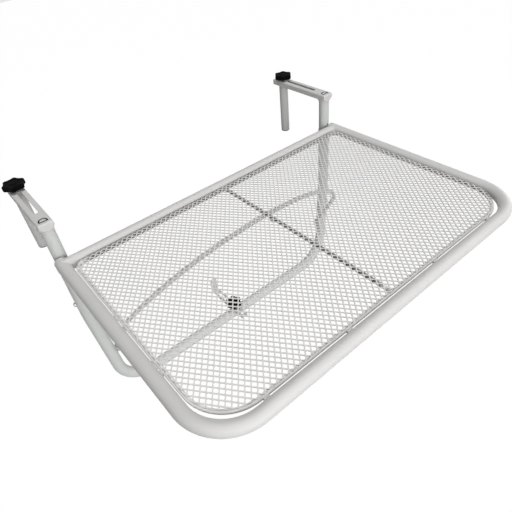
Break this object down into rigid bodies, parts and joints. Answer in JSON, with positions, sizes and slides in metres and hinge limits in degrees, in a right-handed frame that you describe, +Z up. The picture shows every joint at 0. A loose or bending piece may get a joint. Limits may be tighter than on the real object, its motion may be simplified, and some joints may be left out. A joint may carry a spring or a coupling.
{
  "type": "balcony railing bar table",
  "caption": "Folding mesh-topped table that hangs on a balcony railing by two hook arms with clamp pegs, propped by a bowed bail, with a lower hook for the railing's bottom bar.",
  "frame": {"origin": "underside of the two hook arms, at mid width and midway between the posts and the clamp pegs", "axes": "+X across the width to the user's right, +Y from the user to the railing, +Z up"},
  "size_m": [0.6068, 0.5533, 0.437],
  "materials": {
    "frame_paint": "satin white powder coat",
    "post_paint": "satin white powder coat",
    "mesh_paint": "satin white powder coat",
    "knob_plastic": "black moulded plastic",
    "foot_plastic": "dark moulded plastic",
    "plug_plastic": "white moulded plastic",
    "zinc_steel": "zinc plated steel"
  },
  "bodies": {
    "hanger": {"u_frame_tube": "post_paint", "left_post": "post_paint", "right_post": "post_paint", "left_arm": "frame_paint", "right_arm": "frame_paint", "hinge_pins": "zinc_steel", "hinge_nuts": "zinc_steel", "sleeve_bolts": "zinc_steel", "sleeve_nuts": "zinc_steel", "bail_bolts": "zinc_steel", "bail_washers": "zinc_steel", "lower_insert": "zinc_steel"},
    "table_top": {"table_frame_tube": "frame_paint", "rear_cross_tube": "frame_paint", "border_rod": "frame_paint", "mid_rod": "frame_paint", "mesh_panel": "mesh_paint", "weld_tabs": "frame_paint", "catch_tab": "frame_paint", "left_frame_plug": "plug_plastic", "right_frame_plug": "plug_plastic", "left_hinge_ear": "frame_paint", "right_hinge_ear": "frame_paint"},
    "prop": {"prop_bail": "frame_paint"},
    "left_peg": {"left_peg_tube": "frame_paint", "left_peg_insert": "frame_paint", "left_peg_foot": "foot_plastic"},
    "right_peg": {"right_peg_tube": "frame_paint", "right_peg_insert": "frame_paint", "right_peg_foot": "foot_plastic"},
    "left_knob_set": {"left_knob": "knob_plastic", "left_knob_screw": "zinc_steel", "left_knob_washer": "zinc_steel"},
    "right_knob_set": {"right_knob": "knob_plastic", "right_knob_screw": "zinc_steel", "right_knob_washer": "zinc_steel"},
    "bottom_hook": {"lower_hook": "frame_paint"},
    "lower_knob_set": {"lower_knob": "knob_plastic", "lower_knob_screw": "zinc_steel", "lower_knob_washer": "zinc_steel"}
  },
  "joints": [
    {"name": "table_fold", "type": "hinge", "parent": "hanger", "child": "table_top", "pos_m": [0, -0.05985, -0.08], "axis": [1, 0, 0], "range_deg": [0, 82]},
    {"name": "prop_swing", "type": "hinge", "parent": "hanger", "child": "prop", "pos_m": [0, -0.05985, -0.297], "axis": [1, 0, 0], "range_deg": [0, 138.5]},
    {"name": "left_peg_slide", "type": "slide", "parent": "hanger", "child": "left_peg", "axis": [0, 1, 0], "range_m": [-0.09, 0.003]},
    {"name": "right_peg_slide", "type": "slide", "parent": "hanger", "child": "right_peg", "axis": [0, 1, 0], "range_m": [-0.09, 0.003]},
    {"name": "left_knob_turn", "type": "hinge", "parent": "left_peg", "child": "left_knob_set", "pos_m": [-0.2855, 0.05885, 0.017], "axis": [0, 0, 1], "continuous": true},
    {"name": "right_knob_turn", "type": "hinge", "parent": "right_peg", "child": "right_knob_set", "pos_m": [0.2855, 0.05885, 0.017], "axis": [0, 0, 1], "continuous": true},
    {"name": "bottom_hook_slide", "type": "slide", "parent": "hanger", "child": "bottom_hook", "axis": [0, 1, 0], "range_m": [-0.052, 0.028]},
    {"name": "lower_knob_turn", "type": "hinge", "parent": "hanger", "child": "lower_knob_set", "pos_m": [0, -0.05985, -0.376], "axis": [0, 0, 1], "continuous": true}
  ],
  "couplings": [
    {"joint": "prop_swing", "follows": "table_fold", "ratio": 1.689}
  ]
}
